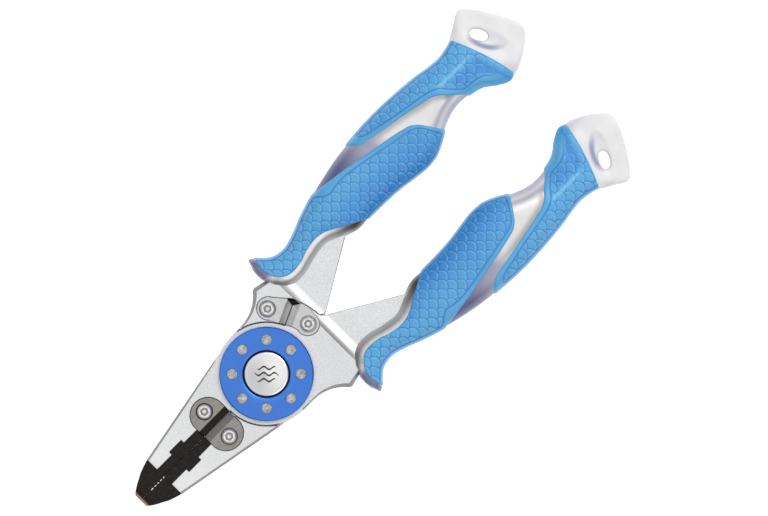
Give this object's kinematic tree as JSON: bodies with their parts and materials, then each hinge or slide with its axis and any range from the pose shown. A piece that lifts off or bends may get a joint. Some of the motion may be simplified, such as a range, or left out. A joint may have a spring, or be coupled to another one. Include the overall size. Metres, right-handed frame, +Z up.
{
  "type": "fishing pliers",
  "caption": "Fishing pliers with replaceable serrated jaw tips, cutters before and behind a blue ring pivot, and long two-colour grips with fish-scale relief and clear lanyard ends.",
  "frame": {"origin": "on the surface the pliers lie on, under the middle of the closed tool's bounding box", "axes": "+X towards the jaw tips, +Z up out of the face that carries the cutters, +Y towards lever B's handle"},
  "size_m": [0.1906, 0.0764, 0.0166],
  "materials": {
    "lever_alloy": "bead-blasted satin",
    "ring_blue": "anodised satin",
    "bright_steel": "turned and brushed",
    "plate_steel": "brushed",
    "screw_steel": "bright",
    "cutter_grey": "ground, slightly coarse",
    "cutter_light": "ground",
    "tip_black": "black coating",
    "bronze": "plain",
    "washer_plastic": "plain",
    "grip_base": "silver, shading to smoky lavender",
    "sleeve_blue": "soft matte with scale relief",
    "tab_clear": "frosted clear"
  },
  "bodies": {
    "lever_b_side": {"lever_b": "lever_alloy", "pivot_bolt": "bright_steel", "pivot_nut": "bright_steel", "lap_washer": "washer_plastic", "front_ring": "ring_blue", "front_plate": "plate_steel", "centre_cap": "bright_steel", "front_cutter_b": "cutter_grey", "front_cutter_screw_b": "screw_steel", "rear_cutter_b": "cutter_light", "rear_cutter_screw_b": "screw_steel", "jaw_tip_b": "tip_black", "jaw_tip_screw_b": "screw_steel", "grip_core_b": "grip_base", "front_sleeve_b": "sleeve_blue", "rear_sleeve_b": "sleeve_blue", "end_tab_b": "tab_clear"},
    "lever_a_side": {"lever_a": "lever_alloy", "pivot_bushing": "bronze", "rear_ring": "ring_blue", "rear_plate": "plate_steel", "front_cutter_a": "cutter_grey", "front_cutter_screw_a": "screw_steel", "rear_cutter_a": "cutter_light", "rear_cutter_screw_a": "screw_steel", "jaw_tip_a": "tip_black", "jaw_tip_screw_a": "screw_steel", "grip_core_a": "grip_base", "front_sleeve_a": "sleeve_blue", "rear_sleeve_a": "sleeve_blue", "end_tab_a": "tab_clear"}
  },
  "joints": [
    {"name": "pivot", "type": "hinge", "parent": "lever_b_side", "child": "lever_a_side", "pos_m": [0.03915, 0, 0.0083], "axis": [0, 0, 1], "range_deg": [0, 35]}
  ]
}
